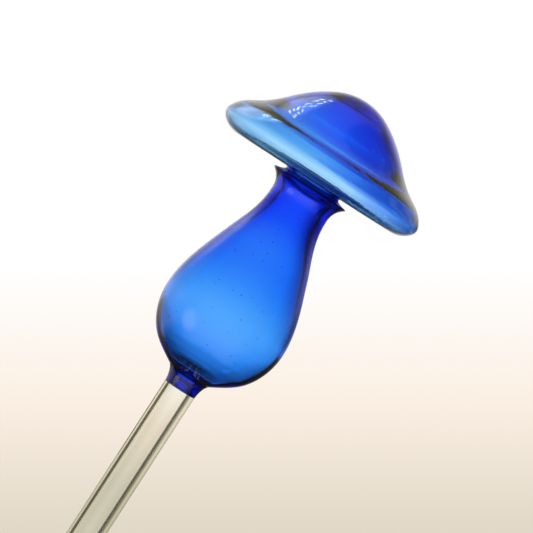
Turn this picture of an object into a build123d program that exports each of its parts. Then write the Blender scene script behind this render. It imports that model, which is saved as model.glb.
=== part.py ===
from build123d import *
import os
from math import cos, radians, sin
from typing import NamedTuple

# Watering globe of lampworked glass in the shape of a mushroom, filled and emptied through its stem.
# Every piece is turned about Z. Z = 0 is the seal between the clear stem and the blue glass, where
# the soil comes to in use: the stem hangs below it and the blue pieces stand above it.
# Lengths are in millimetres. A heading is the way an outline runs, in degrees: 0 outwards, 90 upwards.

# Clear stem tube
STEM_DIAMETER = 10.0
STEM_WALL = 1.5
STEM_LENGTH = 140.0
FIRE_POLISH = 0.55  # rounding on the open end, limited by the wall

# Blue seal that is drawn down onto the stem
SEAL_HEIGHT = 5.0
SEAL_TOP_DIAMETER = 13.6
SEAL_FOOT_HEADING = 84.0
SEAL_TOP_HEADING = 42.0
SEAL_TOP_BORE = 9.0
SEAL_STEP_FROM_STEM = 2.1  # straight bore below the step inside
SEAL_STEP_RISE = 0.7

# Pear-shaped reservoir bulb, from its foot up
BULB_DIAMETER = 39.7
BULB_FOOT_HEADING = 30.0
HIP_INSET = 4.4
HIP_RISE = 6.3
HIP_HEADING = 51.0
BELLY_RISE = 12.9
SHOULDER_INSET = 5.6
SHOULDER_RISE = 21.7
SHOULDER_HEADING = 110.0
NECK_DIAMETER = 18.7
NECK_RISE = 17.7
FLARE_RISE = 5.4
FLARE_HEADING = 33.0
HIP_WALL = 1.3
BELLY_WALL = 1.1
SHOULDER_WALL = 1.35
NECK_WALL = 1.75

# Flared lip, where the bulb and the collar are sealed rim to rim
LIP_DIAMETER = 24.4
LIP_WIDTH = 1.7

# Waisted collar between the lip and the cap
COLLAR_WAIST_DIAMETER = 17.9
COLLAR_TOP_DIAMETER = 20.2
COLLAR_BORE = 15.0
SKIRT_INSET = 0.8
SKIRT_RISE = 0.55
SKIRT_HEADING = 168.0
SKIRT_INNER_HEADING = 160.0
WAIST_RISE = 1.15
WAIST_TO_CAP = 1.3
COLLAR_TOP_HEADING = 45.0
COLLAR_BORE_LENGTH = 2.1

# Hollow mushroom cap: insets step inwards from the brim's edge, rises step up from its lowest ring
CAP_DIAMETER = 65.5
UNDERSIDE_RISE = 0.85  # the underside is dished up towards the collar
BRIM_FOOT_INSET = 6.4
BRIM_EDGE_RISE = 4.4
BRIM_TOP_INSET = 2.3
BRIM_TOP_RISE = 4.1
BRIM_TOP_HEADING = 135.0
CREASE_INSET = 4.9
CREASE_RISE = 3.3
CREASE_HEADING = 147.0
FLANK_INSET = 5.8
FLANK_RISE = 5.0
FLANK_HEADING = 133.0
CROWN_INSET = 8.2
CROWN_RISE = 7.1
CROWN_HEADING = 147.0
APEX_RISE = 3.9
CAP_FLOOR_WALL = 1.5
BRIM_WALL = 1.4
BRIM_TOP_WALL = 1.6
CREASE_WALL = 2.0
CROWN_WALL = 2.0
APEX_WALL = 2.7

# Headings that need no measuring
OUTWARDS = 0.0
UPWARDS = 90.0
INWARDS = 180.0

# Levels and radii that pieces share
STEM_BORE_RADIUS = STEM_DIAMETER / 2 - STEM_WALL
BULB_FOOT_LEVEL = SEAL_HEIGHT
NECK_LEVEL = BULB_FOOT_LEVEL + HIP_RISE + BELLY_RISE + SHOULDER_RISE + NECK_RISE
LIP_LEVEL = NECK_LEVEL + FLARE_RISE
WAIST_LEVEL = LIP_LEVEL + SKIRT_RISE + WAIST_RISE
CAP_SEAT_LEVEL = WAIST_LEVEL + WAIST_TO_CAP
LIP_INNER_RADIUS = LIP_DIAMETER / 2 - LIP_WIDTH


class Station(NamedTuple):
    """A point of an outline: its radius from the axis, its height and the heading of the outline there."""

    radius: float
    height: float
    heading: float

    def inside(self, wall):
        """The station on the other face of a wall, square to the heading and to the left of it."""
        turn = radians(self.heading)
        return Station(self.radius - wall * sin(turn), self.height + wall * cos(turn), self.heading)


def smooth_line(*stations):
    """Curve through the stations that runs along each one's heading."""
    points = [(s.radius, s.height) for s in stations]
    tangents = [(cos(radians(s.heading)), sin(radians(s.heading))) for s in stations]
    return Spline(points, tangents=tangents)


def turned(outer, inner):
    """Solid turned about Z between an outer and an inner line, closed straight across their ends."""
    foot = Line(inner @ 0, outer @ 0)
    head = Line(outer @ 1, inner @ 1)
    return revolve(Plane.XZ * make_face([outer, head, inner, foot]), Axis.Z)


def stem_tube():
    """Clear tube with a square upper end for the seal and a fire-polished open end."""
    tube = Pos(0, 0, -STEM_LENGTH / 2) * (
        Cylinder(STEM_DIAMETER / 2, STEM_LENGTH) - Cylinder(STEM_BORE_RADIUS, STEM_LENGTH)
    )
    open_end = tube.faces().sort_by(Axis.Z)[0]
    return fillet(open_end.edges(), min(FIRE_POLISH, 0.45 * STEM_WALL))


def stem_seal():
    """Thick funnel from the bulb's foot to the stem, with a step in its bore."""
    outer = smooth_line(
        Station(STEM_DIAMETER / 2, 0, SEAL_FOOT_HEADING),
        Station(SEAL_TOP_DIAMETER / 2, BULB_FOOT_LEVEL, SEAL_TOP_HEADING),
    )
    step_top = SEAL_STEP_FROM_STEM + SEAL_STEP_RISE
    straight = Line((STEM_BORE_RADIUS, 0), (STEM_BORE_RADIUS, SEAL_STEP_FROM_STEM))
    step = smooth_line(
        Station(STEM_BORE_RADIUS, SEAL_STEP_FROM_STEM, UPWARDS),
        Station(SEAL_TOP_BORE / 2, step_top, UPWARDS),
    )
    wide = Line((SEAL_TOP_BORE / 2, step_top), (SEAL_TOP_BORE / 2, BULB_FOOT_LEVEL))
    return turned(outer, Wire([straight, step, wide]))


def reservoir_bulb():
    """Pear-shaped wall, thin at the belly and thick at the neck, that ends in the flared lip."""
    belly_radius = BULB_DIAMETER / 2
    hip_level = BULB_FOOT_LEVEL + HIP_RISE
    belly_level = hip_level + BELLY_RISE
    hip = Station(belly_radius - HIP_INSET, hip_level, HIP_HEADING)
    belly = Station(belly_radius, belly_level, UPWARDS)
    shoulder = Station(belly_radius - SHOULDER_INSET, belly_level + SHOULDER_RISE, SHOULDER_HEADING)
    neck = Station(NECK_DIAMETER / 2, NECK_LEVEL, UPWARDS)
    outer = smooth_line(
        Station(SEAL_TOP_DIAMETER / 2, BULB_FOOT_LEVEL, BULB_FOOT_HEADING),
        hip,
        belly,
        shoulder,
        neck,
        Station(LIP_DIAMETER / 2, LIP_LEVEL, FLARE_HEADING),
    )
    inner = smooth_line(
        Station(SEAL_TOP_BORE / 2, BULB_FOOT_LEVEL, BULB_FOOT_HEADING),
        hip.inside(HIP_WALL),
        belly.inside(BELLY_WALL),
        shoulder.inside(SHOULDER_WALL),
        neck.inside(NECK_WALL),
        Station(LIP_INNER_RADIUS, LIP_LEVEL, FLARE_HEADING),
    )
    return turned(outer, inner)


def neck_collar():
    """Ring with a skirt that sits on the bulb's lip, a waist, and a flared top under the cap."""
    lip_radius = LIP_DIAMETER / 2
    outer = smooth_line(
        Station(lip_radius, LIP_LEVEL, UPWARDS),
        Station(lip_radius - SKIRT_INSET, LIP_LEVEL + SKIRT_RISE, SKIRT_HEADING),
        Station(COLLAR_WAIST_DIAMETER / 2, WAIST_LEVEL, UPWARDS),
        Station(COLLAR_TOP_DIAMETER / 2, CAP_SEAT_LEVEL, COLLAR_TOP_HEADING),
    )
    bore_level = CAP_SEAT_LEVEL - COLLAR_BORE_LENGTH
    skirt = smooth_line(
        Station(LIP_INNER_RADIUS, LIP_LEVEL, SKIRT_INNER_HEADING),
        Station(COLLAR_BORE / 2, bore_level, UPWARDS),
    )
    bore = Line((COLLAR_BORE / 2, bore_level), (COLLAR_BORE / 2, CAP_SEAT_LEVEL))
    return turned(outer, Wire([skirt, bore]))


def mushroom_cap():
    """Hollow cap: a flat seat on the collar, a dished underside, a rolled brim, a crease and a crown."""
    edge_radius = CAP_DIAMETER / 2
    top_radius = edge_radius - BRIM_TOP_INSET
    crease_radius = top_radius - CREASE_INSET
    flank_radius = crease_radius - FLANK_INSET
    foot_level = CAP_SEAT_LEVEL - UNDERSIDE_RISE
    edge_level = foot_level + BRIM_EDGE_RISE
    top_level = edge_level + BRIM_TOP_RISE
    crease_level = top_level + CREASE_RISE
    flank_level = crease_level + FLANK_RISE
    crown_level = flank_level + CROWN_RISE
    foot = Station(edge_radius - BRIM_FOOT_INSET, foot_level, OUTWARDS)
    edge = Station(edge_radius, edge_level, UPWARDS)
    top = Station(top_radius, top_level, BRIM_TOP_HEADING)
    crease = Station(crease_radius, crease_level, CREASE_HEADING)
    flank = Station(flank_radius, flank_level, FLANK_HEADING)
    crown = Station(flank_radius - CROWN_INSET, crown_level, CROWN_HEADING)
    apex = Station(0, crown_level + APEX_RISE, INWARDS)
    seat = Line((COLLAR_BORE / 2, CAP_SEAT_LEVEL), (COLLAR_TOP_DIAMETER / 2, CAP_SEAT_LEVEL))
    skin = smooth_line(
        Station(COLLAR_TOP_DIAMETER / 2, CAP_SEAT_LEVEL, OUTWARDS), foot, edge, top, crease, flank, crown, apex
    )
    inner = smooth_line(
        Station(COLLAR_BORE / 2, CAP_SEAT_LEVEL + CAP_FLOOR_WALL, OUTWARDS),
        foot.inside(BRIM_WALL),
        edge.inside(BRIM_WALL),
        top.inside(BRIM_TOP_WALL),
        crease.inside(CREASE_WALL),
        flank.inside(CROWN_WALL),
        crown.inside(CROWN_WALL),
        apex.inside(APEX_WALL),
    )
    return turned(Wire([seat, skin]), inner)


PIECES = (stem_tube, stem_seal, reservoir_bulb, neck_collar, mushroom_cap)

os.makedirs("parts", exist_ok=True)
for make_piece in PIECES:
    export_step(make_piece(), f"parts/{make_piece.__name__}.step")
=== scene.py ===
"""Mushroom-shaped watering globe of blown blue glass on a clear stem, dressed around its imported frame."""

from itertools import pairwise
from math import cos, hypot, pi, radians, sin
from typing import NamedTuple

import bmesh
import bpy
from bpy.props import FloatProperty, FloatVectorProperty, IntProperty, PointerProperty
from bpy.types import Operator, Panel, PropertyGroup
from mathutils import Matrix, Vector


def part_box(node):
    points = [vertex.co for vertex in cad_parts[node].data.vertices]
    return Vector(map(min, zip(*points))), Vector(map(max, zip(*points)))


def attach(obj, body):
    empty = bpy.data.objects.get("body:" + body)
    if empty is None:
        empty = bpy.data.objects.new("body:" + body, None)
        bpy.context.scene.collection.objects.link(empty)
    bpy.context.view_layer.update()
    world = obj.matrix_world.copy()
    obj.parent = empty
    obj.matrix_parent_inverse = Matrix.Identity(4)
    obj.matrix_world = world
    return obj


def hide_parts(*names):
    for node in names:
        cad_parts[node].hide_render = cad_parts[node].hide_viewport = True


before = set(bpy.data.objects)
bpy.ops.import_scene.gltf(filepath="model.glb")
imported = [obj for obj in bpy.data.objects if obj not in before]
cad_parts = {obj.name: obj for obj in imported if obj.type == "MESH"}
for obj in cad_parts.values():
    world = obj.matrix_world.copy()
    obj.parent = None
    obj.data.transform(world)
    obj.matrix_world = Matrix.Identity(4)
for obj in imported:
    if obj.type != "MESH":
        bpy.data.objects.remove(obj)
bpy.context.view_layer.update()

bl_info = {
    "name": "Watering globe",
    "version": (1, 0, 0),
    "blender": (4, 5, 0),
    "location": "3D View > Sidebar > Watering globe",
    "description": "Builds a mushroom-shaped watering globe of blown glass and the studio around it",
    "category": "Add Mesh",
}

# Lengths are in metres. A heading is the way an outline runs: 0 outwards, a quarter turn upwards.
MM = 0.001
DEGREE = pi / 180
OUTWARDS = 0.0
UPWARDS = pi / 2
INWARDS = pi


def reach(node):
    """Widest radius, lowest level and highest level of a CAD node."""
    low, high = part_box(node)
    return high.x, low.z, high.z


STEM_RADIUS, STEM_END_LEVEL, SEAL_FOOT_LEVEL = reach("stem_tube")
SEAL_TOP_RADIUS, _, BULB_FOOT_LEVEL = reach("stem_seal")
BELLY_RADIUS, _, LIP_LEVEL = reach("reservoir_bulb")
LIP_RADIUS, _, CAP_SEAT_LEVEL = reach("neck_collar")
CAP_RADIUS, CAP_FOOT_LEVEL, CAP_TOP_LEVEL = reach("mushroom_cap")


def length(millimetres, name, description):
    """Property that holds a length."""
    return FloatProperty(
        name=name,
        description=description,
        default=millimetres * MM,
        unit="LENGTH",
        subtype="DISTANCE",
        precision=5,
    )


def heading(degrees, name, description):
    """Property that holds the way an outline runs."""
    return FloatProperty(
        name=name, description=description, default=radians(degrees), unit="ROTATION", subtype="ANGLE"
    )


def colour(rgb, name, description):
    """Property that holds a colour."""
    return FloatVectorProperty(
        name=name, description=description, default=rgb, size=3, min=0.0, max=1.0, subtype="COLOR"
    )


def amount(value, name, description, least=0.0):
    """Property that holds a plain number."""
    return FloatProperty(name=name, description=description, default=value, min=least)


class GlobeGlass(PropertyGroup):
    """The two glasses and how they were worked."""

    ior: amount(1.47, "Index of refraction", "How strongly the glass bends light", 1.0)
    blue: colour((0.08, 0.65, 0.99), "Blue", "What the blue glass lets through")
    seal: colour((0.03, 0.5, 0.93), "Seal blue", "What the deeper glass of the seal lets through")
    collar: colour((0.045, 0.6, 0.98), "Collar blue", "What the deeper glass of the collar lets through")
    blue_density: amount(1480.0, "Blue density", "Absorption of the blue glass for each metre")
    clear: colour((0.80, 0.84, 0.45), "Clear", "What the clear glass lets through")
    clear_density: amount(100.0, "Clear density", "Absorption of the clear glass for each metre")
    ripple: length(0.02, "Ripple", "Height of the small ripples that flame working leaves")
    cap_ripple: length(0.025, "Cap ripple", "Height of the fine ripples in the cap")
    tube_ripple: length(0.002, "Tube ripple", "Height of the ripples in the drawn tube")


class GlobeTurning(PropertyGroup):
    """How finely the pieces are turned, and how far a hand-made one strays from true."""

    segments: IntProperty(name="Segments", description="Steps round the axis", default=192, min=24)
    span_steps: IntProperty(name="Span steps", description="Steps between two stations", default=14, min=2)
    weld_lap: length(0.03, "Weld lap", "How far a piece runs into the one it is sealed to")
    sway: length(0.10, "Sway", "How far the surface wanders from a true turning")
    sway_size: length(28.0, "Sway size", "Distance over which it wanders")
    seed: IntProperty(name="Seed", description="Fixed seed of the sway", default=7)


class GlobeStem(PropertyGroup):
    """Clear tube."""

    wall: length(1.5, "Wall", "Thickness of the tube")
    fire_polish: length(0.55, "Fire polish", "Rounding of the open end")


class GlobeSeal(PropertyGroup):
    """Blue funnel that is drawn down onto the stem."""

    foot_heading: heading(84.0, "Foot heading", "Way the outline leaves the stem")
    top_heading: heading(42.0, "Top heading", "Way the outline meets the bulb")
    shoulder_bore: length(5.8, "Shoulder bore", "Diameter of the hollow where the stem's bore closes in")
    shoulder_level: length(0.6, "Shoulder level", "Height of that place over the stem")
    shoulder_heading: heading(120.0, "Shoulder heading", "Way the hollow runs there")
    throat_bore: length(4.6, "Throat bore", "Diameter of the hollow at the throat")
    throat_level: length(2.3, "Throat level", "Height of the throat over the stem")
    throat_heading: heading(106.0, "Throat heading", "Way the hollow runs at the throat")
    step_bore: length(6.0, "Step bore", "Diameter of the hollow over the throat")
    step_level: length(3.0, "Step level", "Height of the step over the stem")
    step_heading: heading(70.0, "Step heading", "Way the hollow runs at the step")
    basin_bore: length(7.2, "Basin bore", "Diameter of the hollow under the bulb")
    basin_level: length(4.4, "Basin level", "Height of that place over the stem")
    basin_heading: heading(72.0, "Basin heading", "Way the hollow runs there")
    bore: length(8.4, "Bore", "Diameter of the hollow at the top")
    bore_heading: heading(45.0, "Bore heading", "Way the hollow opens at the top")


class GlobeBulb(PropertyGroup):
    """Pear-shaped reservoir, from its foot up."""

    foot_heading: heading(30.0, "Foot heading", "Way the outline leaves the seal")
    foot_wall: length(1.0, "Foot wall", "Height of the hollow's foot over the seal")
    foot_inner_heading: heading(27.0, "Foot inner heading", "Way the hollow leaves the seal")
    ankle_bore: length(17.48, "Ankle bore", "Diameter of the hollow between the foot and the hip")
    ankle_rise: length(2.66, "Ankle rise", "Height of that place over the foot")
    ankle_heading: heading(31.5, "Ankle heading", "Way the hollow runs there")
    hip_inset: length(4.4, "Hip inset", "How far the hip lies inside the belly")
    hip_rise: length(6.3, "Hip rise", "Height of the hip over the foot")
    hip_heading: heading(51.0, "Hip heading", "Way the outline runs at the hip")
    belly_rise: length(12.9, "Belly rise", "Height of the belly over the hip")
    shoulder_inset: length(5.6, "Shoulder inset", "How far the shoulder lies inside the belly")
    shoulder_rise: length(21.7, "Shoulder rise", "Height of the shoulder over the belly")
    shoulder_heading: heading(110.0, "Shoulder heading", "Way the outline runs at the shoulder")
    neck_diameter: length(18.7, "Neck diameter", "Diameter at the narrowest place")
    flare_rise: length(5.4, "Flare rise", "Height of the lip over the neck")
    flare_heading: heading(33.0, "Flare heading", "Way the outline meets the lip")
    hip_wall: length(1.26, "Hip wall", "Thickness at the hip")
    belly_wall: length(0.97, "Belly wall", "Thickness at the belly")
    shoulder_wall: length(1.7, "Shoulder wall", "Thickness at the shoulder")
    neck_wall: length(2.85, "Neck wall", "Thickness at the neck")
    lip_width: length(4.2, "Lip width", "Width of the rim that is sealed to the collar")
    lip_inner_heading: heading(60.0, "Lip inner heading", "Way the hollow meets the collar")


class GlobeSeeds(PropertyGroup):
    """Specks of unmelted batch in the bulb's wall."""

    depth: length(0.5, "Depth", "How deep in the wall the specks lie")
    apart: length(9.0, "Apart", "Usual distance between specks")
    smallest: length(0.16, "Smallest", "Diameter of the smallest speck")
    largest: length(0.36, "Largest", "Diameter of the largest speck")
    colour: colour((0.004, 0.006, 0.03), "Colour", "Colour of the specks")
    seed: IntProperty(name="Seed", description="Which scatter of specks", default=11)


class GlobeCollar(PropertyGroup):
    """Waisted ring between the lip and the cap."""

    waist_diameter: length(17.9, "Waist diameter", "Diameter at the waist")
    top_diameter: length(20.2, "Top diameter", "Diameter under the cap")
    bore: length(15.0, "Bore", "Diameter of the passage under the cap")
    throat: length(13.0, "Throat", "Diameter of the passage at its narrowest")
    bore_heading: heading(66.0, "Bore heading", "Way the passage widens")
    skirt_inset: length(0.8, "Skirt inset", "How far the skirt turns in from the lip")
    skirt_rise: length(0.55, "Skirt rise", "Height of the skirt")
    skirt_heading: heading(168.0, "Skirt heading", "Way the skirt runs")
    skirt_inner_heading: heading(100.0, "Skirt inner heading", "Way the skirt runs inside")
    waist_drop: length(1.3, "Waist drop", "Depth of the waist under the cap")
    top_heading: heading(45.0, "Top heading", "Way the outline meets the cap")
    bore_length: length(2.1, "Bore length", "Length of the widening passage")


class GlobeCap(PropertyGroup):
    """Hollow mushroom cap, from its seat up."""

    foot_inset: length(6.4, "Foot inset", "How far the lowest ring lies inside the brim's edge")
    edge_rise: length(4.4, "Edge rise", "Height of the brim's edge over the lowest ring")
    top_inset: length(2.3, "Brim top inset", "How far the brim's top lies inside its edge")
    top_rise: length(4.1, "Brim top rise", "Height of the brim's top over its edge")
    top_heading: heading(135.0, "Brim top heading", "Way the outline runs at the brim's top")
    crease_inset: length(4.9, "Crease inset", "How far the crease lies inside the brim's top")
    crease_rise: length(3.3, "Crease rise", "Height of the crease over the brim's top")
    crease_heading: heading(147.0, "Crease heading", "Way the outline runs in the crease")
    flank_inset: length(5.8, "Flank inset", "How far the flank lies inside the crease")
    flank_rise: length(5.0, "Flank rise", "Height of the flank over the crease")
    flank_heading: heading(133.0, "Flank heading", "Way the outline runs at the flank")
    crown_inset: length(8.2, "Crown inset", "How far the crown lies inside the flank")
    crown_rise: length(7.1, "Crown rise", "Height of the crown over the flank")
    crown_heading: heading(147.0, "Crown heading", "Way the outline runs at the crown")
    floor_wall: length(0.9, "Floor wall", "Thickness of the floor at the bore")
    brim_wall: length(0.42, "Brim wall", "Thickness of the rolled brim")
    brim_top_wall: length(0.65, "Brim top wall", "Thickness over the brim")
    crease_wall: length(1.06, "Crease wall", "Thickness in the crease")
    flank_wall: length(1.6, "Flank wall", "Thickness at the foot of the crown")
    crown_wall: length(1.95, "Crown wall", "Thickness of the crown")
    apex_wall: length(3.2, "Apex wall", "Thickness at the top")


class GlobeStage(PropertyGroup):
    """Studio around the globe."""

    lean: heading(32.9, "Lean", "How far the camera is rolled, so that the globe leans to the right")
    look_down: heading(1.5, "Look down", "How far the camera looks down")
    distance: length(1200.0, "Distance", "Distance of the camera")
    view_width: length(154.0, "View width", "Width that the picture shows at the globe")
    centre_x: length(1.8, "Centre to the right", "What lies in the middle of the picture, right of the axis")
    centre_z: length(43.4, "Centre level", "What lies in the middle of the picture, above the seal")
    white: colour((1.0, 1.0, 1.0), "White", "Backdrop behind the upper part")
    cream: colour((0.97, 0.87, 0.775), "Cream", "Backdrop below the middle")
    dusk: colour((0.76, 0.69, 0.575), "Dusk", "Backdrop low down")
    fade: amount(0.031, "Fade", "How far down the backdrop turns from white to cream, as a slope")
    see_through: amount(1.13, "See-through", "Brightness of the white backdrop in the glass")
    ceiling: colour((0.10, 0.10, 0.045), "Ceiling", "Dim ceiling that shows through the glass")
    ceiling_lit: colour((0.50, 0.48, 0.20), "Lit ceiling", "Ceiling that is mirrored in the glass")
    below: colour((0.05, 0.05, 0.04), "Below", "Dim space below that is mirrored in the glass")
    floor: colour((0.86, 0.84, 0.80), "Floor", "Pale floor")


SETTINGS = {
    "globe_glass": GlobeGlass,
    "globe_turning": GlobeTurning,
    "globe_stem": GlobeStem,
    "globe_seal": GlobeSeal,
    "globe_bulb": GlobeBulb,
    "globe_seeds": GlobeSeeds,
    "globe_collar": GlobeCollar,
    "globe_cap": GlobeCap,
    "globe_stage": GlobeStage,
}


# Outlines
class Station(NamedTuple):
    """A point of an outline: its radius from the axis, its level and the heading of the outline there."""

    radius: float
    level: float
    heading: float

    def inside(self, wall):
        """The station on the other face of a wall, square to the heading and to the left of it."""
        radius = self.radius - wall * sin(self.heading)
        return Station(radius, self.level + wall * cos(self.heading), self.heading)


def station_slopes(stations, knots):
    """Slope at each station: along its heading, as steep as the parabola through it and its neighbours."""
    slopes = []
    for place, station in enumerate(stations):
        first = min(max(place - 1, 0), max(len(stations) - 3, 0))
        near = range(first, min(first + 3, len(stations)))
        steep = [0.0, 0.0]
        for one in near:
            others = [k for k in near if k != one]
            width = 1.0
            for k in others:
                width *= knots[one] - knots[k]
            if len(others) == 1:
                share = 1.0 / width
            else:
                share = (2 * knots[place] - knots[others[0]] - knots[others[1]]) / width
            steep[0] += share * stations[one].radius
            steep[1] += share * stations[one].level
        ahead = (cos(station.heading), sin(station.heading))
        size = (abs(steep[0]) + abs(steep[1])) / (abs(ahead[0]) + abs(ahead[1]))
        slopes.append((size * ahead[0], size * ahead[1]))
    return slopes


def smooth_line(*stations):
    """Points of a curve through the stations that runs along each one's heading."""
    steps = bpy.context.scene.globe_turning.span_steps
    knots = [0.0]
    for here, there in pairwise(stations):
        knots.append(knots[-1] + hypot(there.radius - here.radius, there.level - here.level))
    slopes = station_slopes(stations, knots)
    points = [(stations[0].radius, stations[0].level)]
    for place, (here, there) in enumerate(pairwise(stations)):
        gap = knots[place + 1] - knots[place]
        off, onto = slopes[place], slopes[place + 1]
        for step in range(1, steps + 1):
            t = step / steps
            away = (1 + 2 * t) * (1 - t) ** 2
            leave = gap * t * (1 - t) ** 2
            near = t * t * (3 - 2 * t)
            arrive = gap * t * t * (t - 1)
            points.append(
                tuple(
                    away * here[axis] + leave * off[axis] + near * there[axis] + arrive * onto[axis]
                    for axis in (0, 1)
                )
            )
    return points


def inner_stations(stations, walls):
    """Stations on the inner face of a wall, from those on its outer face and its thickness at each."""
    return [station.inside(wall) for station, wall in zip(stations, walls)]


def section(outer, inner):
    """Closed outline of a wall, from its outer and inner lines."""
    return [*outer, *reversed(inner)]


def stem_section(scene):
    """Tube with a square upper end and a fire-polished open end."""
    polish = scene.globe_stem.fire_polish
    bore_radius = STEM_RADIUS - scene.globe_stem.wall
    steps = scene.globe_turning.span_steps
    outer = []
    inner = []
    for step in range(steps + 1):
        bend = pi / 2 * step / steps
        level = STEM_END_LEVEL + polish * (1 - cos(bend))
        outer.append((STEM_RADIUS - polish * (1 - sin(bend)), level))
        inner.append((bore_radius + polish * (1 - sin(bend)), level))
    outer.append((STEM_RADIUS, SEAL_FOOT_LEVEL))
    inner.append((bore_radius, SEAL_FOOT_LEVEL))
    return section(outer, inner)


def seal_section(scene):
    """Thick funnel, with a bore that narrows to a throat and opens again."""
    seal = scene.globe_seal
    foot = SEAL_FOOT_LEVEL - scene.globe_turning.weld_lap
    outer = smooth_line(
        Station(STEM_RADIUS, foot, seal.foot_heading),
        Station(SEAL_TOP_RADIUS, BULB_FOOT_LEVEL, seal.top_heading),
    )
    inner = smooth_line(
        Station(STEM_RADIUS - scene.globe_stem.wall, foot, UPWARDS),
        Station(seal.shoulder_bore / 2, SEAL_FOOT_LEVEL + seal.shoulder_level, seal.shoulder_heading),
        Station(seal.throat_bore / 2, SEAL_FOOT_LEVEL + seal.throat_level, seal.throat_heading),
        Station(seal.step_bore / 2, SEAL_FOOT_LEVEL + seal.step_level, seal.step_heading),
        Station(seal.basin_bore / 2, SEAL_FOOT_LEVEL + seal.basin_level, seal.basin_heading),
        Station(seal.bore / 2, BULB_FOOT_LEVEL, seal.bore_heading),
    )
    return section(outer, inner)


def bulb_stations(bulb):
    """Hip, belly, shoulder and neck on the outside of the bulb."""
    hip = BULB_FOOT_LEVEL + bulb.hip_rise
    belly = hip + bulb.belly_rise
    return (
        Station(BELLY_RADIUS - bulb.hip_inset, hip, bulb.hip_heading),
        Station(BELLY_RADIUS, belly, UPWARDS),
        Station(BELLY_RADIUS - bulb.shoulder_inset, belly + bulb.shoulder_rise, bulb.shoulder_heading),
        Station(bulb.neck_diameter / 2, LIP_LEVEL - bulb.flare_rise, UPWARDS),
    )


def bulb_section(scene):
    """Pear-shaped wall, thin at the belly and thick at the neck, that ends in the flared lip."""
    bulb = scene.globe_bulb
    bore_radius = scene.globe_seal.bore / 2
    foot = BULB_FOOT_LEVEL - scene.globe_turning.weld_lap
    skin = bulb_stations(bulb)
    walls = (bulb.hip_wall, bulb.belly_wall, bulb.shoulder_wall, bulb.neck_wall)
    outer = smooth_line(
        Station(SEAL_TOP_RADIUS, foot, bulb.foot_heading),
        *skin,
        Station(LIP_RADIUS, LIP_LEVEL, bulb.flare_heading),
    )
    inner = smooth_line(
        Station(bore_radius, BULB_FOOT_LEVEL + bulb.foot_wall, bulb.foot_inner_heading),
        Station(bulb.ankle_bore / 2, BULB_FOOT_LEVEL + bulb.ankle_rise, bulb.ankle_heading),
        *inner_stations(skin, walls),
        Station(LIP_RADIUS - bulb.lip_width, LIP_LEVEL, bulb.lip_inner_heading),
    )
    return section(outer, [(bore_radius, foot), *inner])


def collar_section(scene):
    """Ring with a skirt that sits on the lip, a waist, and a flared top under the cap."""
    collar = scene.globe_collar
    foot = LIP_LEVEL - scene.globe_turning.weld_lap
    outer = smooth_line(
        Station(LIP_RADIUS, foot, UPWARDS),
        Station(LIP_RADIUS - collar.skirt_inset, LIP_LEVEL + collar.skirt_rise, collar.skirt_heading),
        Station(collar.waist_diameter / 2, CAP_SEAT_LEVEL - collar.waist_drop, UPWARDS),
        Station(collar.top_diameter / 2, CAP_SEAT_LEVEL, collar.top_heading),
    )
    inner = smooth_line(
        Station(LIP_RADIUS - scene.globe_bulb.lip_width, foot, collar.skirt_inner_heading),
        Station(collar.throat / 2, CAP_SEAT_LEVEL - collar.bore_length, collar.bore_heading),
        Station(collar.bore / 2, CAP_SEAT_LEVEL, collar.bore_heading),
    )
    return section(outer, inner)


def cap_section(scene):
    """Hollow wall: a seat on the collar, a dished underside, a rolled brim, a crease and a crown."""
    cap = scene.globe_cap
    bore_radius = scene.globe_collar.bore / 2
    seat = CAP_SEAT_LEVEL - scene.globe_turning.weld_lap
    foot = Station(CAP_RADIUS - cap.foot_inset, CAP_FOOT_LEVEL, OUTWARDS)
    edge = Station(CAP_RADIUS, CAP_FOOT_LEVEL + cap.edge_rise, UPWARDS)
    top = Station(CAP_RADIUS - cap.top_inset, edge.level + cap.top_rise, cap.top_heading)
    crease = Station(top.radius - cap.crease_inset, top.level + cap.crease_rise, cap.crease_heading)
    flank = Station(crease.radius - cap.flank_inset, crease.level + cap.flank_rise, cap.flank_heading)
    crown = Station(flank.radius - cap.crown_inset, flank.level + cap.crown_rise, cap.crown_heading)
    apex = Station(0.0, CAP_TOP_LEVEL, INWARDS)
    skin = (foot, edge, top, crease, flank, crown, apex)
    walls = (
        cap.brim_wall,
        cap.brim_wall,
        cap.brim_top_wall,
        cap.crease_wall,
        cap.flank_wall,
        cap.crown_wall,
        cap.apex_wall,
    )
    outer = smooth_line(Station(scene.globe_collar.top_diameter / 2, seat, OUTWARDS), *skin)
    inner = smooth_line(
        Station(bore_radius, seat + cap.floor_wall, OUTWARDS), *inner_stations(skin, walls)
    )
    return section(outer, [(bore_radius, seat), *inner])


# Node trees
def add_node(tree, kind, inputs=None, **options):
    """Adds a node with its options. An input, by name or by place, takes a value or another node's socket."""
    node = tree.nodes.new(kind)
    for name, value in options.items():
        setattr(node, name, value)
    for name, value in (inputs or {}).items():
        if isinstance(value, bpy.types.NodeSocket):
            tree.links.new(value, node.inputs[name])
        else:
            node.inputs[name].default_value = value
    return node


def result_of(tree, kind, inputs=None, output=0, **options):
    """Adds a node and returns one of its outputs, the first unless another is asked for."""
    return add_node(tree, kind, inputs, **options).outputs[output]


def calculate(tree, operation, *values):
    """Result of a calculation on sockets and numbers."""
    return result_of(tree, "ShaderNodeMath", dict(enumerate(values)), operation=operation)


def blend(tree, share, first, second, way="MIX"):
    """Mix of two colours, each a socket or a plain colour, by a share that is a socket or a number."""
    inputs = {0: share}
    for place, tint in ((6, first), (7, second)):
        inputs[place] = tint if isinstance(tint, bpy.types.NodeSocket) else (*tint, 1.0)
    return result_of(
        tree, "ShaderNodeMix", inputs, 2, data_type="RGBA", blend_type=way, clamp_factor=True
    )


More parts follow.
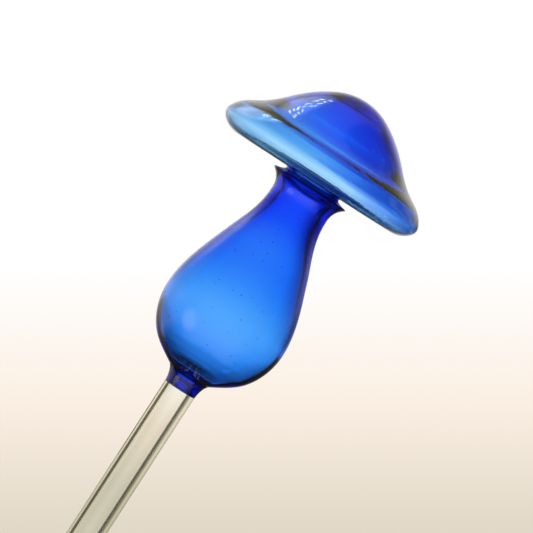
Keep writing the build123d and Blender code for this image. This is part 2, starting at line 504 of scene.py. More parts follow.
def emptied_tree(owner):
    """Node tree of a material or a world, with nothing in it."""
    owner.use_nodes = True
    owner.node_tree.nodes.clear()
    return owner.node_tree


TURNING_PATH_RADIUS = 10 * MM  # circle that an outline is carried along
MERGE_DISTANCE = 0.001 * MM
CORNER = radians(35)  # edges sharper than this stay sharp
SPECK_RADIUS = 0.5  # so that a speck's scale is its diameter
SPECK_SUBDIVISIONS = 2


def start_tree(name, inputs, output):
    """New geometry tree with named inputs, each with its kind, and one output. Returns it and its inputs."""
    tree = bpy.data.node_groups.new(name, "GeometryNodeTree")
    for label, kind in inputs.items():
        tree.interface.new_socket(label, in_out="INPUT", socket_type=f"NodeSocket{kind}")
    tree.interface.new_socket(output, in_out="OUTPUT", socket_type="NodeSocketGeometry")
    return tree, add_node(tree, "NodeGroupInput").outputs


def carried_round(tree, drawing, path_inputs):
    """Surface that a line, drawn in the XZ plane, leaves when it is carried round Z."""
    line = result_of(tree, "GeometryNodeMeshToCurve", {"Mesh": drawing})
    laid = result_of(
        tree,
        "GeometryNodeTransform",
        {"Geometry": line, "Translation": (-TURNING_PATH_RADIUS, 0, 0), "Rotation": (pi / 2, 0, 0)},
    )
    path = result_of(
        tree, "GeometryNodeCurvePrimitiveCircle", {"Radius": TURNING_PATH_RADIUS, **path_inputs}
    )
    return result_of(tree, "GeometryNodeCurveToMesh", {"Curve": path, "Profile Curve": laid})


def finish_tree(tree, shape, material):
    """Ends a geometry tree with a plain mesh that has its material."""
    real = result_of(tree, "GeometryNodeRealizeInstances", {"Geometry": shape})
    painted = result_of(tree, "GeometryNodeSetMaterial", {"Geometry": real, "Material": material})
    add_node(tree, "NodeGroupOutput", {0: painted})
    return tree


def turning_tree():
    """Geometry nodes that turn a closed outline, drawn in the XZ plane, about Z into a glass wall."""
    tree, given = start_tree(
        "Turned glass",
        {
            "Outline": "Geometry",
            "Segments": "Int",
            "Sway": "Float",
            "Sway Size": "Float",
            "Seed": "Int",
            "Material": "Material",
        },
        "Piece",
    )
    turned = carried_round(tree, given["Outline"], {"Resolution": given["Segments"]})
    closed = result_of(tree, "GeometryNodeMergeByDistance", {"Geometry": turned, "Distance": MERGE_DISTANCE})
    place = result_of(tree, "GeometryNodeInputPosition")
    spread = result_of(tree, "ShaderNodeVectorMath", {0: place, 1: given["Sway Size"]}, operation="DIVIDE")
    wander = result_of(
        tree,
        "ShaderNodeTexNoise",
        {"Vector": spread, "W": given["Seed"], "Scale": 1.0, "Detail": 1.0},
        "Color",
        noise_dimensions="4D",
    )
    centred = result_of(tree, "ShaderNodeVectorMath", {0: wander, 1: (0.5, 0.5, 0.5)}, operation="SUBTRACT")
    double = calculate(tree, "MULTIPLY", given["Sway"], 2.0)
    swayed = result_of(tree, "ShaderNodeVectorMath", {0: centred, "Scale": double}, operation="SCALE")
    moved = result_of(tree, "GeometryNodeSetPosition", {"Geometry": closed, "Offset": swayed})
    return finish_tree(tree, moved, given["Material"])


def scatter_tree():
    """Geometry nodes that turn a line, drawn in the XZ plane, about Z and scatter specks over it."""
    tree, given = start_tree(
        "Scattered specks",
        {
            "Line": "Geometry",
            "Density": "Float",
            "Smallest": "Float",
            "Largest": "Float",
            "Seed": "Int",
            "Material": "Material",
        },
        "Specks",
    )
    spots = result_of(
        tree,
        "GeometryNodeDistributePointsOnFaces",
        {"Mesh": carried_round(tree, given["Line"], {}), "Density": given["Density"], "Seed": given["Seed"]},
    )
    speck = result_of(
        tree, "GeometryNodeMeshIcoSphere", {"Radius": SPECK_RADIUS, "Subdivisions": SPECK_SUBDIVISIONS}
    )
    size = result_of(
        tree,
        "FunctionNodeRandomValue",
        {2: given["Smallest"], 3: given["Largest"], "Seed": given["Seed"]},
        1,
        data_type="FLOAT",
    )
    inputs = {"Points": spots, "Instance": speck, "Scale": size}
    placed = result_of(tree, "GeometryNodeInstanceOnPoints", inputs)
    return finish_tree(tree, placed, given["Material"])


def in_scene(name, data):
    """Adds an object with its data to the scene."""
    thing = bpy.data.objects.new(name, data)
    bpy.context.scene.collection.objects.link(thing)
    return thing


def drawn_line(name, points, closed):
    """Object that holds a line through (radius, level) points, drawn in the XZ plane."""
    mesh = bpy.data.meshes.new(name)
    order = list(range(len(points)))
    if closed:
        order.append(0)
    mesh.from_pydata([(radius, 0.0, level) for radius, level in points], list(pairwise(order)), [])
    return in_scene(name, mesh)


def plain_mesh(source, tree, values):
    """Runs a geometry tree on an object and returns the result as a plain mesh; the object is removed."""
    modifier = source.modifiers.new(tree.name, "NODES")
    modifier.node_group = tree
    for item in tree.interface.items_tree:
        if item.in_out == "INPUT" and item.name in values:
            modifier[item.identifier] = values[item.name]
    ready = source.evaluated_get(bpy.context.evaluated_depsgraph_get())
    mesh = bpy.data.meshes.new_from_object(ready)
    drawing = source.data
    bpy.data.objects.remove(source)
    bpy.data.meshes.remove(drawing)
    if not mesh.polygons:
        raise RuntimeError(f"the tree {tree.name} made no faces")
    return mesh


def place_piece(name, mesh):
    """Adds a finished mesh to the scene as a piece of the globe that takes its finish from a slot."""
    mesh.name = name
    piece = in_scene(name, mesh)
    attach(piece, "root")
    return piece


def turned_piece(node, outline, material):
    """Turns an outline into a closed glass wall that stands for a CAD node."""
    turning = bpy.context.scene.globe_turning
    mesh = plain_mesh(
        drawn_line(f"{node} outline", outline, closed=True),
        bpy.data.node_groups.get("Turned glass") or turning_tree(),
        {
            "Segments": turning.segments,
            "Sway": turning.sway,
            "Sway Size": turning.sway_size,
            "Seed": turning.seed,
            "Material": material,
        },
    )
    shape = bmesh.new()
    shape.from_mesh(mesh)
    bmesh.ops.recalc_face_normals(shape, faces=shape.faces)
    for face in shape.faces:
        face.smooth = True
    for edge in shape.edges:
        edge.smooth = edge.calc_face_angle(0.0) < CORNER
    shape.to_mesh(mesh)
    shape.free()
    piece = place_piece(f"{node}_glass", mesh)
    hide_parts(node)


# Glass and stone
BROAD_RIPPLES = (90.0, 90.0, 45.0)  # ripples to a metre, drawn out along the axis
FINE_RIPPLES = 380.0  # ripples to a metre
FINE_RIPPLE_SHARE = 0.35  # height of the fine ripples against the broad ones
SPECK_ROUGHNESS = 0.7
SPECK_MOTTLE = 400.0  # blotches to a metre
SPECK_PALE = (0.03, 0.04, 0.09)


def glass(name, tint, density, ripple, fine_ripple=None):
    """Clear-bodied glass that is tinted by its thickness, with the faint ripples of flame work."""
    material = bpy.data.materials.get(name) or bpy.data.materials.new(name)
    tree = emptied_tree(material)
    place = result_of(tree, "ShaderNodeTexCoord", output="Object")
    drawn = result_of(tree, "ShaderNodeMapping", {"Vector": place, "Scale": BROAD_RIPPLES})
    normal = None
    for where, scale, detail, height in (
        (drawn, 1.0, 2.0, ripple),
        (place, FINE_RIPPLES, 1.0, fine_ripple or ripple * FINE_RIPPLE_SHARE),
    ):
        noise = result_of(tree, "ShaderNodeTexNoise", {"Vector": where, "Scale": scale, "Detail": detail})
        bump = {"Strength": 1.0, "Distance": height, "Height": noise}
        if normal:
            bump["Normal"] = normal
        normal = result_of(tree, "ShaderNodeBump", bump)
    surface = result_of(
        tree,
        "ShaderNodeBsdfPrincipled",
        {
            "Base Color": (1, 1, 1, 1),
            "Roughness": 0.0,
            "IOR": bpy.context.scene.globe_glass.ior,
            "Transmission Weight": 1.0,
            "Normal": normal,
        },
    )
    absorb = result_of(tree, "ShaderNodeVolumeAbsorption", {"Color": (*tint, 1.0), "Density": density})
    add_node(tree, "ShaderNodeOutputMaterial", {"Surface": surface, "Volume": absorb})
    return material


def blue_glass(worked):
    """Transparent cobalt-blue glass."""
    return glass("blue_glass", worked.blue, worked.blue_density, worked.ripple)


def cap_glass(worked):
    """Cobalt-blue glass of the cap, with the ripples of a wall that was pressed back on itself."""
    return glass("cap_blue_glass", worked.blue, worked.blue_density, worked.ripple, worked.cap_ripple)


def seal_glass(worked):
    """Blue glass of the seal, which was gathered and worked most and is deepest in colour."""
    return glass("seal_blue_glass", worked.seal, worked.blue_density, worked.ripple)


def collar_glass(worked):
    """Blue glass of the collar, between that of the seal and that of the blown pieces."""
    return glass("collar_blue_glass", worked.collar, worked.blue_density, worked.ripple)


def clear_glass(worked):
    """Clear glass with a faint green-grey tint."""
    return glass("clear_glass", worked.clear, worked.clear_density, worked.tube_ripple)


def speck_stone(seeds):
    """Dark unmelted stone, mottled from speck to speck."""
    material = bpy.data.materials.new("speck_stone")
    material.use_nodes = True
    tree = material.node_tree
    surface = tree.nodes["Principled BSDF"].inputs
    surface["Roughness"].default_value = SPECK_ROUGHNESS
    place = result_of(tree, "ShaderNodeTexCoord", output="Object")
    mottle = result_of(tree, "ShaderNodeTexNoise", {"Vector": place, "Scale": SPECK_MOTTLE, "Detail": 1.0})
    tree.links.new(blend(tree, mottle, seeds.colour, SPECK_PALE), surface["Base Color"])
    return material


# Pieces
class GLOBE_OT_stem(Operator):
    """Turn the clear stem tube."""

    bl_idname = "globe.stem"
    bl_label = "Stem tube"

    def execute(self, context):
        scene = context.scene
        turned_piece("stem_tube", stem_section(scene), clear_glass(scene.globe_glass))
        return {"FINISHED"}


class GLOBE_OT_seal(Operator):
    """Turn the blue funnel that seals the bulb to the stem."""

    bl_idname = "globe.seal"
    bl_label = "Stem seal"

    def execute(self, context):
        scene = context.scene
        turned_piece("stem_seal", seal_section(scene), seal_glass(scene.globe_glass))
        return {"FINISHED"}


class GLOBE_OT_bulb(Operator):
    """Turn the pear-shaped reservoir bulb."""

    bl_idname = "globe.bulb"
    bl_label = "Reservoir bulb"

    def execute(self, context):
        scene = context.scene
        turned_piece("reservoir_bulb", bulb_section(scene), blue_glass(scene.globe_glass))
        return {"FINISHED"}


class GLOBE_OT_seeds(Operator):
    """Scatter specks in the bulb's wall."""

    bl_idname = "globe.seeds"
    bl_label = "Seeds in the bulb"

    def execute(self, context):
        seeds = context.scene.globe_seeds
        skin = bulb_stations(context.scene.globe_bulb)
        line = smooth_line(*(station.inside(seeds.depth) for station in skin))
        mesh = plain_mesh(
            drawn_line("speck line", line, closed=False),
            scatter_tree(),
            {
                "Density": 1 / seeds.apart**2,
                "Smallest": seeds.smallest,
                "Largest": seeds.largest,
                "Seed": seeds.seed,
                "Material": speck_stone(seeds),
            },
        )
        place_piece("bulb_seeds", mesh)
        return {"FINISHED"}


class GLOBE_OT_collar(Operator):
    """Turn the waisted collar under the cap."""

    bl_idname = "globe.collar"
    bl_label = "Neck collar"

    def execute(self, context):
        scene = context.scene
        turned_piece("neck_collar", collar_section(scene), collar_glass(scene.globe_glass))
        return {"FINISHED"}


class GLOBE_OT_cap(Operator):
    """Turn the hollow mushroom cap."""

    bl_idname = "globe.cap"
    bl_label = "Mushroom cap"

    def execute(self, context):
        scene = context.scene
        turned_piece("mushroom_cap", cap_section(scene), cap_glass(scene.globe_glass))
        return {"FINISHED"}


# Stage
SENSOR_WIDTH = 36.0
FLOOR_DROP = 0.5 * MM
FLOOR_RADIUS = 320 * MM
FLOOR_FADE_FROM = 90 * MM
FLOOR_SEGMENTS = 96
MANY_BOUNCES = 32
SOME_BOUNCES = 16

# Light of the studio. A table of sides has (degrees to the right of the camera's line, brightness), and a
# table of heights has (rise of the way, from -1 straight down to 1 straight up, brightness). A pair named
# LEVELS is the rise at which a change starts and the rise at which it is complete.
# Seen through the glass: dark strips low down and high up, strips at both sides, a low band, the ceiling.
STRIPS = (
    (-180, 1.0), (-43, 1.0), (-38, 0.05), (-29, 0.05), (-24, 1.0),
    (16, 1.0), (24, 0.05), (39, 0.05), (44, 1.0), (180, 1.0),
)
STRIPS_HIGH = (
    (-180, 1.0), (3, 1.0), (6, 0.88), (10, 0.68), (16, 0.46),
    (24, 0.28), (37, 0.15), (43, 1.0), (180, 1.0),
)
STRIPS_HIGH_LEVELS = (-0.03, 0.02)
SIDE_STRIPS = (
    (-180, 1.0), (-94, 1.0), (-86, 0.06), (-54, 0.06), (-46, 1.0),
    (46, 1.0), (54, 0.06), (86, 0.06), (94, 1.0), (180, 1.0),
)
SIDE_STRIPS_LEVELS = (0.1, 0.17)
LOW_SIDES = ((-180, 0.0), (-24, 0.0), (-8, 1.0), (8, 1.0), (24, 0.0), (180, 0.0))
LOW_HEIGHTS = (
    (-1.0, 0.05), (-0.37, 0.05), (-0.33, 0.4), (-0.28, 0.5),
    (-0.21, 0.68), (-0.165, 0.84), (-0.115, 1.0), (1.0, 1.0),
)
CEILING_LEVELS = (0.5, 0.66)
# Mirrored on the outside of the glass: walls low down and high up, the ceiling, the dim space below, a glow
# in front and one on the left, and two round lights, each with the degrees to its edge and to its core.
WALLS_OUTSIDE = (
    (-180, 0.12), (-90, 0.2), (-67, 0.4), (-40, 0.6), (-25, 0.85),
    (-15, 1.0), (8, 0.8), (16, 0.25), (30, 0.1), (180, 0.12),
)
WALLS_OUTSIDE_HIGH = (
    (-180, 0.12), (-90, 0.2), (-67, 0.5), (-45, 0.9), (-28, 1.0),
    (18, 0.85), (32, 0.45), (60, 0.25), (90, 0.1), (180, 0.12),
)
WALLS_OUTSIDE_HIGH_LEVELS = (0.08, 0.24)
CEILING_SIDES = ((-180, 0.7), (-25, 1.0), (22, 0.92), (40, 0.4), (90, 0.35), (180, 0.7))
MIRRORED_CEILING_LEVELS = (0.35, 0.65)
MIRRORED_BELOW_LEVELS = (-0.1, -0.45)
FRONT_SIDES = ((-180, 1.0), (-140, 1.0), (-100, 0.0), (100, 0.0), (140, 1.0), (180, 1.0))
FRONT_HEIGHTS = (
    (-1.0, 0.0), (-0.88, 0.0), (-0.76, 1.0), (-0.45, 1.0), (-0.12, 0.4),
    (0.02, 0.12), (0.3, 0.1), (0.5, 0.0), (1.0, 0.0),
)
FRONT_LIGHT = (0.95, 0.93, 0.92)
LEFT_SIDES = ((-180, 0.0), (-120, 0.0), (-88, 1.0), (-40, 1.0), (-15, 0.0), (180, 0.0))
LEFT_HEIGHTS = ((-1.0, 0.0), (-0.66, 0.0), (-0.52, 1.0), (-0.12, 1.0), (0.1, 0.0), (1.0, 0.0))
LEFT_LIGHT = (0.6, 0.6, 0.58)
SKY_WAY = (-0.62, 0.55, 0.56)
SKY_SPREAD = (23, 8)
SKY_LIGHT = (1.6, 1.7, 1.8)
LAMP_WAY = (-0.73, -0.48, -0.44)
LAMP_SPREAD = (19, 3)
LAMP_LIGHT = (1.6, 1.6, 1.6)
# Mirrored inside the glass: walls low down and high up, their brightness by height, and the dim top.
WALLS_INSIDE = (
    (-180, 0.8), (-108, 0.05), (-90, 0.8), (-66, 0.05), (-56, 0.1), (-46, 0.85), (-15, 0.95),
    (15, 0.9), (28, 0.75), (37, 0.1), (68, 0.05), (90, 0.8), (108, 0.05), (180, 0.8),
)
WALLS_INSIDE_HIGH = (
    (-180, 0.3), (-60, 0.05), (-45, 0.4), (-12, 0.6), (4, 0.6),
    (12, 0.35), (25, 0.25), (40, 0.05), (180, 0.3),
)
WALLS_INSIDE_HIGH_LEVELS = (-0.05, 0.08)
INSIDE_HEIGHTS = (
    (-1.0, 0.05), (-0.75, 0.05), (-0.62, 0.8), (-0.4, 0.8),
    (-0.36, 0.1), (-0.21, 0.1), (-0.18, 1.0), (1.0, 1.0),
)
DIM_TOP_LEVELS = (0.4, 0.6)

# Cards behind the globe: how far behind it, half the width, and the levels of the foot and the head. Their
# tables have millimetres to the right of the axis, or above the seal for heights, and a brightness or colour.
# A pair named LEVELS or SIDE is the place where a change starts and the place where it is complete.
# The cards paint light and shade that show only in the glass, in place of the studio around the globe.
UNSHADED = (1.0, 1.0, 1.0)
# Far card: its dark top and foot are painted shade for what is mirrored inside the glass.
FAR_CARD = (300 * MM, 200 * MM, -230 * MM, 250 * MM)
FAR_TOP_HEIGHTS = ((-230, 0.0), (74, 0.0), (82, 1.0), (94, 1.0), (108, 0.0), (250, 0.0))
FAR_TOP = ((-260, 1.0), (-70, 1.0), (-40, 0.2), (40, 0.2), (70, 1.0), (260, 1.0))
FAR_FOOT_LEVELS = (-78 * MM, -92 * MM)
FAR_FOOT = (0.07, 0.07, 0.07)
FAR_CREAM_LEVELS = (-12 * MM, -36 * MM)
FAR_CREAM = (0.82, 0.74, 0.67)
FAR_DUSK_LEVELS = (-30 * MM, -60 * MM)
FAR_DUSK = (0.76, 0.81, 0.79)
# Near card: painted shade that darkens the glass to the right and dims what is mirrored inside near the foot.
NEAR_CARD = (60 * MM, 80 * MM, -30 * MM, 160 * MM)
NEAR_SHADE = (
    (-60, 1.0), (0, 1.0), (7, (0.6, 0.7, 1.0)), (15, (0.38, 0.5, 0.92)), (20, (0.2, 0.36, 0.8)),
    (27, (0.1, 0.26, 0.75)), (36, (0.06, 0.2, 0.68)), (90, (0.06, 0.2, 0.68)),
)
NEAR_SLANT = 26 * MM
NEAR_SLANT_FROM = -10 * MM
NEAR_SLANT_LEVELS = (74 * MM, 96 * MM)
NEAR_EDGE_LEVELS = (65 * MM, 72 * MM)
NEAR_FOOT_SIDE = (3 * MM, 9 * MM)
NEAR_FOOT_LEVELS = (24 * MM, 14 * MM)
NEAR_FOOT = (0.04, 0.04, 0.04)
# Stem card: a glowing strip of painted light, with dark sides of painted shade that make the dark lines in
# the stem.
STEM_CARD = (7.5 * MM, 30 * MM, -150 * MM, -0.5 * MM)
STEM_CARD_DARK = (0.04, 0.035, 0.01)
STEM_CARD_PASSING = ((-30, 1.0), (4.2, 1.0), (5.1, STEM_CARD_DARK), (30, STEM_CARD_DARK))
STEM_CARD_MIRRORED = (
    (-30, (0.12, 0.11, 0.05)), (-8.8, (0.08, 0.07, 0.03)), (-7.2, 1.0), (10, 0.95), (16, 0.4), (30, 0.35),
)
STEM_CARD_FACE = ((-30, 1.0), (-4.3, 1.0), (-3.6, 0.0), (3.6, 0.0), (4.2, 1.0), (30, 1.0))
STEM_CARD_FILM = (0.95, 0.91, 0.88)
STEM_CARD_CREAM = (0.93, 0.84, 0.74)
STEM_CARD_DUSK = (0.66, 0.6, 0.5)
STEM_CARD_DUSK_LEVELS = (0.0, -45 * MM)

# Window overhead on the left
WINDOW_WAY = (-0.45, 0.51, 0.73)
WINDOW_DISTANCE = 1.0
WINDOW_AIM = (0.0, 0.0, 60 * MM)
WINDOW_PANES = (4, 2)
PANE_SPACING = (0.06, 0.10)
PANE_SIZE = (0.02, 0.06)
PANE_TINT = (0.5, 0.85, 1.0)
PANE_RADIANCE = 11.0


def picture_axes(stage):
    """Right, up and forward directions of the picture."""
    forward = Vector((0.0, cos(stage.look_down), -sin(stage.look_down)))
    level_up = Vector((0.0, sin(stage.look_down), cos(stage.look_down)))
    level_right = Vector((1.0, 0.0, 0.0))
    right = cos(stage.lean) * level_right + sin(stage.lean) * level_up
    up = cos(stage.lean) * level_up - sin(stage.lean) * level_right
    return right, up, forward


def add_camera(stage):
    """Camera at the picture's viewing angle, rolled so that the upright globe leans."""
    right, up, forward = picture_axes(stage)
    data = bpy.data.cameras.new("camera")
    data.sensor_width = SENSOR_WIDTH
    data.lens = SENSOR_WIDTH * stage.distance / stage.view_width
    camera = in_scene("camera", data)
    turn = Matrix((right, up, -forward)).transposed().to_4x4()
    middle = Vector((stage.centre_x, 0.0, stage.centre_z))
    camera.matrix_world = Matrix.Translation(middle - forward * stage.distance) @ turn
    bpy.context.scene.camera = camera


def ramp(tree, value, stops, unit):
    """Light that runs through the stops, each a place in the unit given and its brightness or colour."""
    low, high = stops[0][0], stops[-1][0]
    span = {"Value": value, "From Min": low * unit, "From Max": high * unit}
    scale = add_node(tree, "ShaderNodeValToRGB", {"Fac": result_of(tree, "ShaderNodeMapRange", span)})
    marks = scale.color_ramp.elements
    for place, (where, light) in enumerate(stops):
        position = (where - low) / (high - low)
        mark = marks[place] if place < 2 else marks.new(position)
        mark.position = position
        mark.color = (*light, 1.0) if isinstance(light, tuple) else (light, light, light, 1.0)
    return scale.outputs["Color"]


def step_between(tree, value, start, end):
    """Smooth step of a socket's value from 0 at the start to 1 at the end."""
    span = {"Value": value, "From Min": start, "From Max": end}
    return result_of(tree, "ShaderNodeMapRange", span, interpolation_type="SMOOTHSTEP")


def along(tree, vector, direction):
    """How far a vector socket points along a direction."""
    return result_of(
        tree, "ShaderNodeVectorMath", {0: vector, 1: direction}, "Value", operation="DOT_PRODUCT"
    )


def product(tree, first, second):
    """Product of two sockets."""
    return calculate(tree, "MULTIPLY", first, second)


def ways_taken(tree):
    """1 or 0 for light that glass has mirrored, and for light that has passed into glass."""
    rays = add_node(tree, "ShaderNodeLightPath").outputs
    counts = (rays["Glossy Depth"], rays["Transmission Depth"])
    return [calculate(tree, "GREATER_THAN", count, 0.5) for count in counts]


def soft_spot(tree, way, towards, edge, core):
    """Share of a soft round light in a direction, from 0 at its edge to 1 at its core, both in degrees."""
    straight = along(tree, way, Vector(towards).normalized())
    return step_between(tree, straight, cos(radians(edge)), cos(radians(core)))


def glow(tree, turn, rise, sides, heights):
    """Share of a soft light on the walls, from its tables of sides and heights."""
    return product(tree, ramp(tree, turn, sides, DEGREE), ramp(tree, rise, heights, 1.0))


def studio_walls(tree, turn, rise, low, high, levels):
    """Walls round the globe that change with the levels from their low table of sides to their high one."""
    share = step_between(tree, rise, *levels)
    return blend(tree, share, ramp(tree, turn, low, DEGREE), ramp(tree, turn, high, DEGREE))


def sinking_backdrop(tree, lowness, stage, level, slant):
    """Backdrop that turns from white to cream and on to grey-cream as a socket's value grows past a level."""
    depth = stage.fade / slant
    light = stage.white
    for start, tint in ((level, stage.cream), (level + depth, stage.dusk)):
        span = {"Value": lowness, "From Min": start, "From Max": start + depth}
        light = blend(tree, result_of(tree, "ShaderNodeMapRange", span), light, tint)
    return light


def seen_through(tree, turn, rise, stage):
    """Studio as the glass lets it be seen: white, with dark strips, a dark foot and a dim ceiling."""
    strips = studio_walls(tree, turn, rise, STRIPS, STRIPS_HIGH, STRIPS_HIGH_LEVELS)
    light = blend(tree, 1.0, (stage.see_through,) * 3, strips, "MULTIPLY")
    sides = ramp(tree, turn, SIDE_STRIPS, DEGREE)
    light = blend(tree, step_between(tree, rise, *SIDE_STRIPS_LEVELS), light, sides, "MULTIPLY")
    low = ramp(tree, rise, LOW_HEIGHTS, 1.0)
    light = blend(tree, ramp(tree, turn, LOW_SIDES, DEGREE), light, low, "MULTIPLY")
    return blend(tree, step_between(tree, rise, *CEILING_LEVELS), light, stage.ceiling)


def mirrored_outside(tree, way, turn, rise, paper, stage):
    """Studio as the outside of the glass mirrors it: walls on the paper, a lit ceiling and soft lights."""
    around = studio_walls(tree, turn, rise, WALLS_OUTSIDE, WALLS_OUTSIDE_HIGH, WALLS_OUTSIDE_HIGH_LEVELS)
    light = blend(tree, 1.0, paper, around, "MULTIPLY")
    ceiling = blend(tree, 1.0, stage.ceiling_lit, ramp(tree, turn, CEILING_SIDES, DEGREE), "MULTIPLY")
    light = blend(tree, step_between(tree, rise, *MIRRORED_CEILING_LEVELS), light, ceiling)
    light = blend(tree, step_between(tree, rise, *MIRRORED_BELOW_LEVELS), light, stage.below)
    for share, added in (
        (glow(tree, turn, rise, FRONT_SIDES, FRONT_HEIGHTS), FRONT_LIGHT),
        (glow(tree, turn, rise, LEFT_SIDES, LEFT_HEIGHTS), LEFT_LIGHT),
        (soft_spot(tree, way, SKY_WAY, *SKY_SPREAD), SKY_LIGHT),
        (soft_spot(tree, way, LAMP_WAY, *LAMP_SPREAD), LAMP_LIGHT),
    ):
        light = blend(tree, share, light, added, "ADD")
    return light


def mirrored_inside(tree, turn, rise, stage):
    """Studio as the inner faces of the glass mirror it: walls with a band low down and a dim top."""
    around = studio_walls(tree, turn, rise, WALLS_INSIDE, WALLS_INSIDE_HIGH, WALLS_INSIDE_HIGH_LEVELS)
    light = blend(tree, 1.0, around, ramp(tree, rise, INSIDE_HEIGHTS, 1.0), "MULTIPLY")
    return blend(tree, step_between(tree, rise, *DIM_TOP_LEVELS), light, stage.below)


def add_world(stage):
    """White studio that turns cream low down; in the glass it shows walls, a ceiling and soft lights."""
    world = bpy.data.worlds.new("studio")
    bpy.context.scene.world = world
    tree = emptied_tree(world)
    _, up, _ = picture_axes(stage)
    way = result_of(tree, "ShaderNodeTexCoord", output="Generated")
    parts = add_node(tree, "ShaderNodeSeparateXYZ", {"Vector": way}).outputs
    turn = calculate(tree, "ARCTAN2", parts["X"], parts["Y"])
    rise = parts["Z"]
    backdrop = sinking_backdrop(tree, along(tree, way, -up), stage, 0.0, 1.0)
    paper = sinking_backdrop(tree, along(tree, way, (0, 0, -1)), stage, sin(stage.look_down), up.z)
    through = seen_through(tree, turn, rise, stage)
    outside = mirrored_outside(tree, way, turn, rise, paper, stage)
    inside = mirrored_inside(tree, turn, rise, stage)

    rays = add_node(tree, "ShaderNodeLightPath").outputs
    in_glass = calculate(tree, "MAXIMUM", rays["Is Transmission Ray"], rays["Is Glossy Ray"])
    mirrored, passed = ways_taken(tree)
    seen_in_glass = blend(tree, mirrored, through, blend(tree, passed, outside, inside))
    light = blend(tree, in_glass, stage.white, seen_in_glass)
    shown = blend(tree, rays["Is Camera Ray"], light, backdrop)
    shine = result_of(tree, "ShaderNodeBackground", {"Color": shown, "Strength": 1.0})
    add_node(tree, "ShaderNodeOutputWorld", {"Surface": shine})


def add_prop(name, shape, finish):
    """Adds a drawn shape to the stage, and returns it and the empty node tree of its finish."""
    mesh = bpy.data.meshes.new(name)
    shape.to_mesh(mesh)
    shape.free()
    prop = in_scene(name, mesh)
    material = bpy.data.materials.new(finish)
    mesh.materials.append(material)
    return prop, emptied_tree(material)


def add_card(name, distance, half_width, foot, head, shade):
    """Card behind the globe that only shows in the glass, with the shader that shade gives."""
    shape = bmesh.new()
    corners = [(-half_width, foot), (half_width, foot), (half_width, head), (-half_width, head)]
    shape.faces.new([shape.verts.new((x, distance, z)) for x, z in corners])
    card, tree = add_prop(name, shape, name)
    card.visible_camera = False
    card.visible_diffuse = False
    card.visible_shadow = False
    place = result_of(tree, "ShaderNodeTexCoord", output="Object")
    surface = shade(tree, along(tree, place, (1, 0, 0)), along(tree, place, (0, 0, 1)))
    add_node(tree, "ShaderNodeOutputMaterial", {"Surface": surface})


def film(tree, tint):
    """Film that lets a colour pass, which is a socket or a plain colour with its alpha."""
    return result_of(tree, "ShaderNodeBsdfTransparent", {"Color": tint})


def far_card(tree, across, level):
    """Far card: painted shade as a dark top and foot for what is mirrored inside the glass, and cream low
    down.
    """
    inner = product(tree, *ways_taken(tree))
    high = product(tree, inner, ramp(tree, level, FAR_TOP_HEIGHTS, MM))
    tint = blend(tree, high, UNSHADED, ramp(tree, across, FAR_TOP, MM), "MULTIPLY")
    low = product(tree, inner, step_between(tree, level, *FAR_FOOT_LEVELS))
    tint = blend(tree, low, tint, FAR_FOOT, "MULTIPLY")
    tint = blend(tree, step_between(tree, level, *FAR_CREAM_LEVELS), tint, FAR_CREAM, "MULTIPLY")
    tint = blend(tree, step_between(tree, level, *FAR_DUSK_LEVELS), tint, FAR_DUSK, "MULTIPLY")
    return film(tree, tint)


def near_shade_card(tree, across, level):
    """Near card, painted shade that shows only in the glass: a blue shade that deepens to the right, and
    further left the higher it is, and a dark foot of painted shade for what is mirrored inside.
    """
    start = calculate(tree, "ADD", across, NEAR_SLANT_FROM)
    slant = step_between(tree, level, *NEAR_SLANT_LEVELS)
    slanted = calculate(tree, "MULTIPLY_ADD", slant, NEAR_SLANT, start)
    mirrored, passed = ways_taken(tree)
    share = product(tree, passed, step_between(tree, level, *NEAR_EDGE_LEVELS))
    tint = blend(tree, share, UNSHADED, ramp(tree, slanted, NEAR_SHADE, MM))
    inner = product(tree, passed, mirrored)
    side = step_between(tree, across, *NEAR_FOOT_SIDE)
    foot = product(tree, side, step_between(tree, level, *NEAR_FOOT_LEVELS))
    return film(tree, blend(tree, product(tree, inner, foot), tint, NEAR_FOOT, "MULTIPLY"))


def stem_glow_card(tree, across, level):
    """Stem card, painted light that shows only in the glass: open in the middle, glowing cream at its sides,
    with painted shade as a dark side for each way that light takes.
    """
    mirrored, passed = ways_taken(tree)
    passing = ramp(tree, across, STEM_CARD_PASSING, MM)
    sides = blend(tree, mirrored, passing, ramp(tree, across, STEM_CARD_MIRRORED, MM))
    dusk = step_between(tree, level, *STEM_CARD_DUSK_LEVELS)
    paper = blend(tree, 1.0, blend(tree, dusk, STEM_CARD_CREAM, STEM_CARD_DUSK), sides, "MULTIPLY")
    # Painted light: the card glows though it is no lamp.
    lit = result_of(tree, "ShaderNodeEmission", {"Color": paper, "Strength": 1.0})
    clear = film(tree, (*STEM_CARD_FILM, 1.0))
    share = product(tree, passed, ramp(tree, across, STEM_CARD_FACE, MM))
    return result_of(tree, "ShaderNodeMixShader", {0: share, 1: clear, 2: lit})


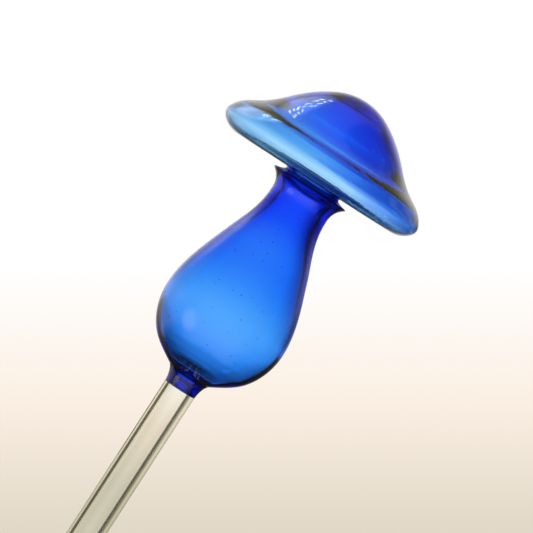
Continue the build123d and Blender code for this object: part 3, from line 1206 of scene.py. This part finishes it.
def add_floor(stage):
    """Pale floor under the stem that fades out into the backdrop, and is open from below."""
    shape = bmesh.new()
    bmesh.ops.create_circle(shape, cap_ends=True, segments=FLOOR_SEGMENTS, radius=FLOOR_RADIUS)
    bmesh.ops.translate(shape, vec=(0, 0, STEM_END_LEVEL - FLOOR_DROP), verts=shape.verts)
    floor, tree = add_prop("floor", shape, "floor_paper")
    floor.visible_glossy = False
    floor.visible_transmission = False
    place = result_of(tree, "ShaderNodeTexCoord", output="Object")
    flat = result_of(tree, "ShaderNodeVectorMath", {0: place, 1: (1, 1, 0)}, operation="MULTIPLY")
    away = result_of(tree, "ShaderNodeVectorMath", {0: flat}, "Value", operation="LENGTH")
    fade = step_between(tree, away, FLOOR_FADE_FROM, FLOOR_RADIUS)
    below = result_of(tree, "ShaderNodeNewGeometry", output="Backfacing")
    gone = calculate(tree, "MAXIMUM", fade, below)
    paper = result_of(tree, "ShaderNodeBsdfDiffuse", {"Color": (*stage.floor, 1.0)})
    clear = film(tree, (*UNSHADED, 1.0))
    mixed = result_of(tree, "ShaderNodeMixShader", {0: gone, 1: paper, 2: clear})
    add_node(tree, "ShaderNodeOutputMaterial", {"Surface": mixed})


def add_pane(name, towards):
    """Soft rectangular lamp that faces the globe from a direction."""
    width, height = PANE_SIZE
    data = bpy.data.lights.new(name, "AREA")
    data.shape = "RECTANGLE"
    data.size = width
    data.size_y = height
    data.energy = PANE_RADIANCE * pi * width * height
    data.color = PANE_TINT
    pane = in_scene(name, data)
    direction = towards.normalized()
    pane.location = Vector(WINDOW_AIM) + WINDOW_DISTANCE * direction
    pane.rotation_euler = direction.to_track_quat("Z", "Y").to_euler()
    pane.visible_camera = False


def add_window():
    """Window overhead on the left, as rows of panes that are mirrored in the cap."""
    columns, rows = WINDOW_PANES
    middle = Vector(WINDOW_WAY).normalized()
    across = middle.cross(Vector((0, 0, 1))).normalized()
    upwards = across.cross(middle)
    for column in range(columns):
        for row in range(rows):
            right = (column - (columns - 1) / 2) * PANE_SPACING[0]
            above = (row - (rows - 1) / 2) * PANE_SPACING[1]
            add_pane(f"pane_{column}_{row}", middle + right * across + above * upwards)


class GLOBE_OT_stage(Operator):
    """Set up the camera, the floor and the light of the studio."""

    bl_idname = "globe.stage"
    bl_label = "Studio"

    def execute(self, context):
        stage = context.scene.globe_stage
        add_camera(stage)
        add_world(stage)
        add_floor(stage)
        add_card("far_card", *FAR_CARD, far_card)
        add_card("near_shade_card", *NEAR_CARD, near_shade_card)
        add_card("stem_glow_card", *STEM_CARD, stem_glow_card)
        add_window()
        context.scene.view_settings.view_transform = "Standard"
        cycles = context.scene.cycles
        cycles.max_bounces = MANY_BOUNCES
        cycles.transmission_bounces = MANY_BOUNCES
        cycles.glossy_bounces = SOME_BOUNCES
        cycles.transparent_max_bounces = SOME_BOUNCES
        return {"FINISHED"}


class GLOBE_PT_panel(Panel):
    """Lists the pieces of the watering globe and its studio."""

    bl_idname = "GLOBE_PT_panel"
    bl_label = "Watering globe"
    bl_space_type = "VIEW_3D"
    bl_region_type = "UI"
    bl_category = "Watering globe"

    def draw(self, context):
        for operator in OPERATORS:
            self.layout.operator(operator.bl_idname)
        for name in SETTINGS:
            box = self.layout.box()
            settings = getattr(context.scene, name)
            box.label(text=name.replace("_", " "))
            for field in settings.__annotations__:
                box.prop(settings, field)


OPERATORS = (
    GLOBE_OT_stem,
    GLOBE_OT_seal,
    GLOBE_OT_bulb,
    GLOBE_OT_seeds,
    GLOBE_OT_collar,
    GLOBE_OT_cap,
    GLOBE_OT_stage,
)
CLASSES = (*SETTINGS.values(), *OPERATORS, GLOBE_PT_panel)


def register():
    for part in CLASSES:
        bpy.utils.register_class(part)
    for name, settings in SETTINGS.items():
        setattr(bpy.types.Scene, name, PointerProperty(type=settings))


def unregister():
    for name in SETTINGS:
        delattr(bpy.types.Scene, name)
    for part in reversed(CLASSES):
        bpy.utils.unregister_class(part)


def main():
    """Registers the classes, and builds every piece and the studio."""
    register()
    bpy.ops.globe.stem()
    bpy.ops.globe.seal()
    bpy.ops.globe.bulb()
    bpy.ops.globe.seeds()
    bpy.ops.globe.collar()
    bpy.ops.globe.cap()
    bpy.ops.globe.stage()


if __name__ == "__main__":
    main()
